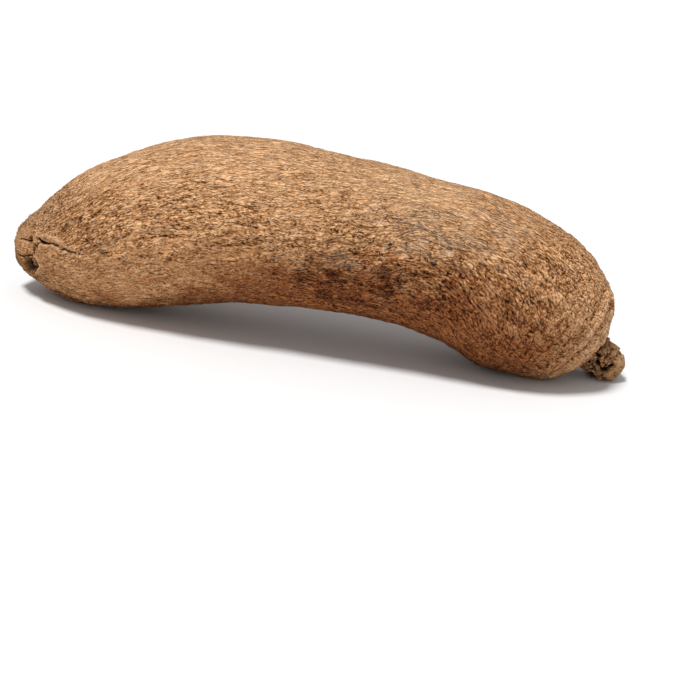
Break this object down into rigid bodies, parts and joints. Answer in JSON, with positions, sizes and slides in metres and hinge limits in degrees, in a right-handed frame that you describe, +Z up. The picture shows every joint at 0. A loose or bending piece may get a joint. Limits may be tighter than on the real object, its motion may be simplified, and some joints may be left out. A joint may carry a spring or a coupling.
{
  "type": "white yam",
  "caption": "Whole white yam tuber, thick and gently arched, in brown corky bark, with a blunt scarred tail and a corky crown knob; lies on its tail bulge and head.",
  "frame": {"origin": "on the surface that the tuber lies on, under the middle of its box", "axes": "+X from the tail to the head and its crown knob, +Z up, with the arch of the back on top"},
  "size_m": [0.3822, 0.1036, 0.1178],
  "materials": {
    "bark": "dry corky bark, matt"
  },
  "bodies": {
    "root": {"yam": "bark"}
  },
  "joints": []
}
